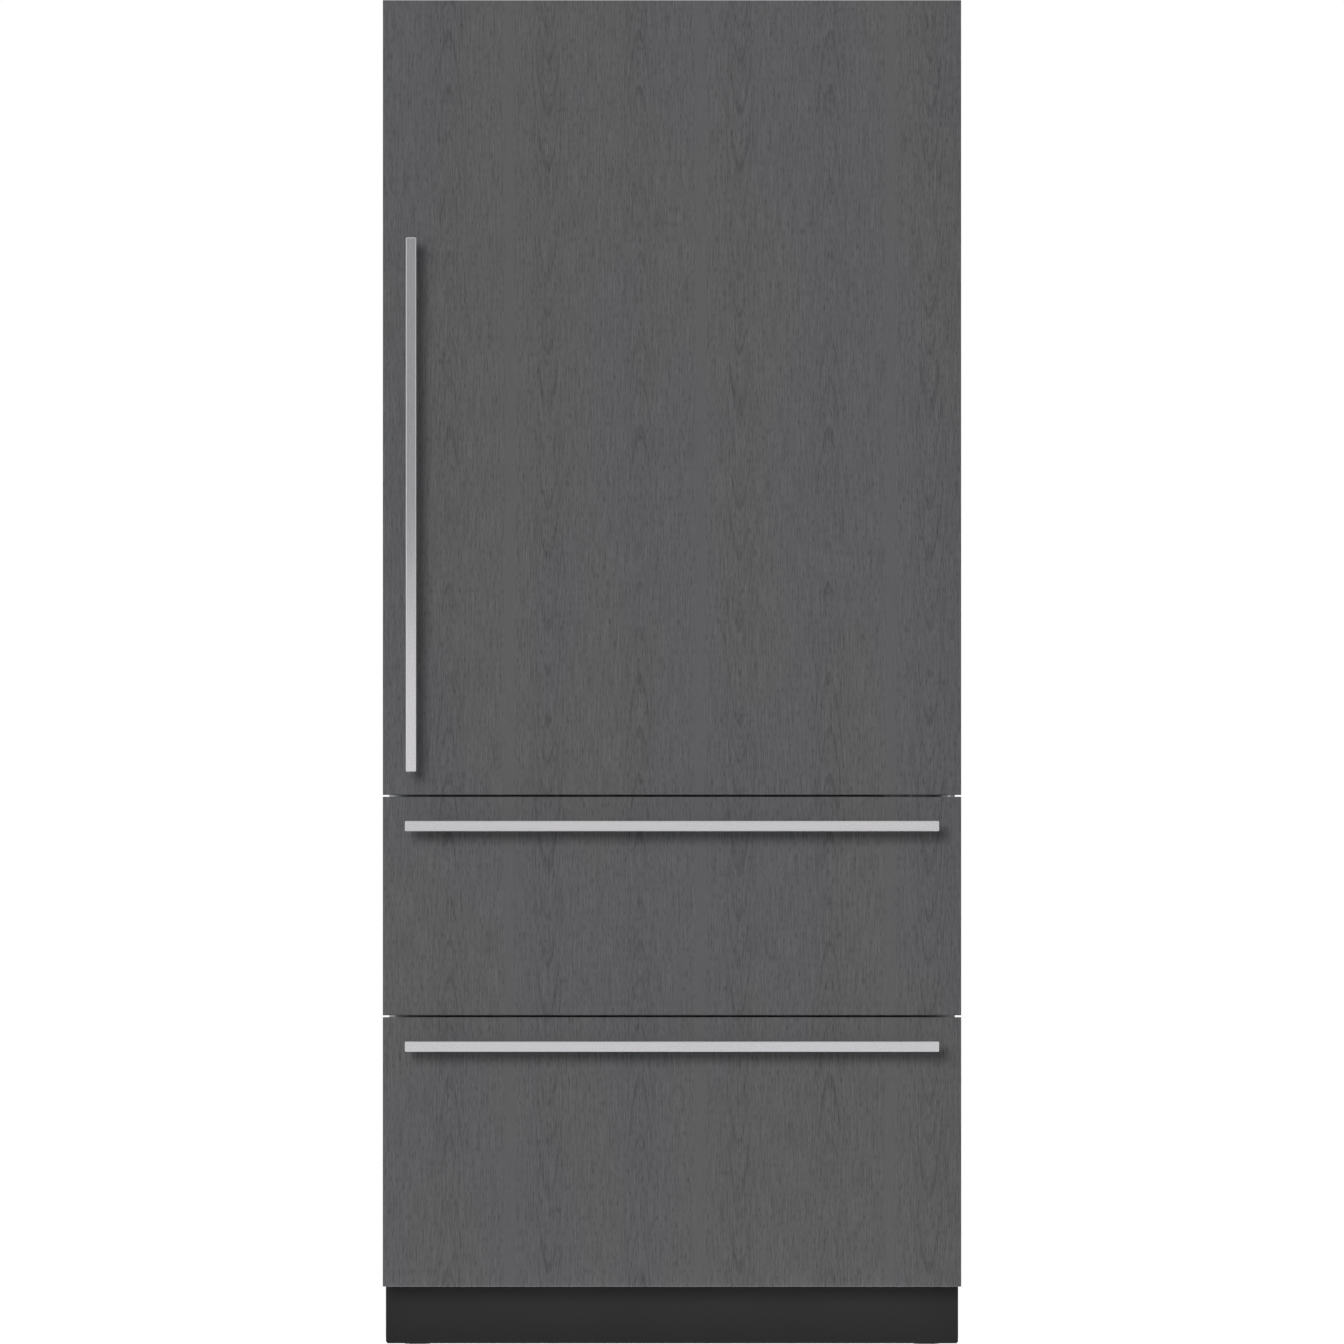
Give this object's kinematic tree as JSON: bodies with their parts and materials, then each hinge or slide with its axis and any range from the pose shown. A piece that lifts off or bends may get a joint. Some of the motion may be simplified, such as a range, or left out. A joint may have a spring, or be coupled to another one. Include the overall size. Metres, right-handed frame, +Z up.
{
  "type": "bottom freezer refrigerator",
  "caption": "Tall panel-ready refrigerator with a right-hinged wood door over freezer drawers, square steel bar handles, glass shelves, crispers and a top-mounted cooling unit.",
  "frame": {"origin": "on the floor under the middle of the whole object, handles included", "axes": "+Z up, +X to the right seen from the front, -Y towards the front, where the door and drawers face"},
  "size_m": [0.908, 0.667, 2.11],
  "materials": {
    "oak_panel": "stained veneer, satin",
    "satin_steel": "satin",
    "cabinet_steel": "satin paint",
    "face_steel": "satin",
    "zinc_steel": "bright zinc",
    "kick_black": "matte",
    "foam": "rigid foam",
    "liner_white": "smooth",
    "duct_grey": "fine texture",
    "grille_black": "matte",
    "gasket_grey": "soft",
    "black_rubber": "matte",
    "compressor_black": "gloss paint",
    "fin_aluminium": "bare",
    "trim_aluminium": "anodised",
    "motor_plastic": "moulded",
    "fan_plastic": "moulded",
    "shelf_glass": "clear",
    "clear_plastic": "clear moulding",
    "tub_plastic": "translucent white",
    "light_lens": "frosted",
    "control_black": "gloss",
    "bush_nylon": "nylon",
    "core_grey": "moulded liner over foam",
    "roller_nylon": "nylon"
  },
  "bodies": {
    "cabinet": {"base_frame": "zinc_steel", "levelling_feet": "zinc_steel", "toe_kick": "kick_black", "side_panels": "cabinet_steel", "top_panel": "zinc_steel", "rear_cover": "zinc_steel", "front_frame": "face_steel", "drawer_rail": "face_steel", "cabinet_foam": "foam", "refrigerator_liner": "liner_white", "freezer_liner": "liner_white", "machine_tray": "zinc_steel", "top_grille": "grille_black", "compressor": "compressor_black", "compressor_mounts": "black_rubber", "condenser_coil": "fin_aluminium", "condenser_fan_shroud": "grille_black", "fan_motors": "motor_plastic", "control_box": "grille_black", "evaporators": "fin_aluminium", "refrigerator_air_cover": "duct_grey", "freezer_air_cover": "duct_grey", "shelf_tracks": "trim_aluminium", "shelf_frames": "trim_aluminium", "shelf_panes": "shelf_glass", "crisper_cover": "duct_grey", "light_bars": "light_lens", "control_panel": "control_black", "hinge_brackets": "zinc_steel", "slide_outer_members": "zinc_steel"},
    "refrigerator_door": {"door_panel": "oak_panel", "door_pan": "cabinet_steel", "door_liner": "core_grey", "door_gasket": "gasket_grey", "door_handle": "satin_steel", "hinge_bushes": "bush_nylon", "door_bins": "clear_plastic", "dairy_box": "clear_plastic"},
    "dairy_lid": {"dairy_lid": "clear_plastic"},
    "left_crisper": {"left_crisper": "clear_plastic"},
    "right_crisper": {"right_crisper": "clear_plastic"},
    "condenser_fan": {"condenser_fan": "fan_plastic"},
    "refrigerator_fan": {"refrigerator_fan": "fan_plastic"},
    "freezer_fan": {"freezer_fan": "fan_plastic"},
    "left_roller": {"left_roller": "roller_nylon"},
    "right_roller": {"right_roller": "roller_nylon"},
    "upper_drawer": {"upper_drawer_panel": "oak_panel", "upper_drawer_front": "core_grey", "upper_drawer_gasket": "gasket_grey", "upper_drawer_handle": "satin_steel", "upper_drawer_basket": "tub_plastic", "upper_slide_inner": "zinc_steel"},
    "upper_slide_pair": {"upper_slide_middle": "zinc_steel"},
    "lower_drawer": {"lower_drawer_panel": "oak_panel", "lower_drawer_front": "core_grey", "lower_drawer_gasket": "gasket_grey", "lower_drawer_handle": "satin_steel", "lower_drawer_basket": "tub_plastic", "lower_slide_inner": "zinc_steel"},
    "lower_slide_pair": {"lower_slide_middle": "zinc_steel"}
  },
  "joints": [
    {"name": "refrigerator_door_hinge", "type": "hinge", "parent": "cabinet", "child": "refrigerator_door", "pos_m": [0.428, -0.247, 1.38], "axis": [0, 0, 1], "range_deg": [0, 105]},
    {"name": "dairy_lid_hinge", "type": "hinge", "parent": "refrigerator_door", "child": "dairy_lid", "pos_m": [-0.207, -0.1985, 1.726], "axis": [1, 0, 0], "range_deg": [0, 75]},
    {"name": "upper_drawer_slide", "type": "slide", "parent": "cabinet", "child": "upper_drawer", "axis": [0, -1, 0], "range_m": [0, 0.4]},
    {"name": "upper_middle_slide", "type": "slide", "parent": "cabinet", "child": "upper_slide_pair", "axis": [0, -1, 0], "range_m": [0, 0.2]},
    {"name": "lower_drawer_slide", "type": "slide", "parent": "cabinet", "child": "lower_drawer", "axis": [0, -1, 0], "range_m": [0, 0.4]},
    {"name": "lower_middle_slide", "type": "slide", "parent": "cabinet", "child": "lower_slide_pair", "axis": [0, -1, 0], "range_m": [0, 0.2]},
    {"name": "left_crisper_slide", "type": "slide", "parent": "cabinet", "child": "left_crisper", "axis": [0, -1, 0], "range_m": [0, 0.095]},
    {"name": "right_crisper_slide", "type": "slide", "parent": "cabinet", "child": "right_crisper", "axis": [0, -1, 0], "range_m": [0, 0.095]},
    {"name": "condenser_fan_spin", "type": "hinge", "parent": "cabinet", "child": "condenser_fan", "pos_m": [-0.225, -0.1198, 1.9872], "axis": [0, 1, 0], "continuous": true},
    {"name": "refrigerator_fan_spin", "type": "hinge", "parent": "cabinet", "child": "refrigerator_fan", "pos_m": [0, 0.272, 1.744], "axis": [0, 1, 0], "continuous": true},
    {"name": "freezer_fan_spin", "type": "hinge", "parent": "cabinet", "child": "freezer_fan", "pos_m": [0, 0.272, 0.728], "axis": [0, 1, 0], "continuous": true},
    {"name": "left_roller_spin", "type": "hinge", "parent": "cabinet", "child": "left_roller", "pos_m": [-0.4, 0.2635, 0.024], "axis": [1, 0, 0], "continuous": true},
    {"name": "right_roller_spin", "type": "hinge", "parent": "cabinet", "child": "right_roller", "pos_m": [0.4, 0.2635, 0.024], "axis": [1, 0, 0], "continuous": true}
  ],
  "couplings": [
    {"joint": "upper_middle_slide", "follows": "upper_drawer_slide", "ratio": 0.5},
    {"joint": "lower_middle_slide", "follows": "lower_drawer_slide", "ratio": 0.5}
  ]
}
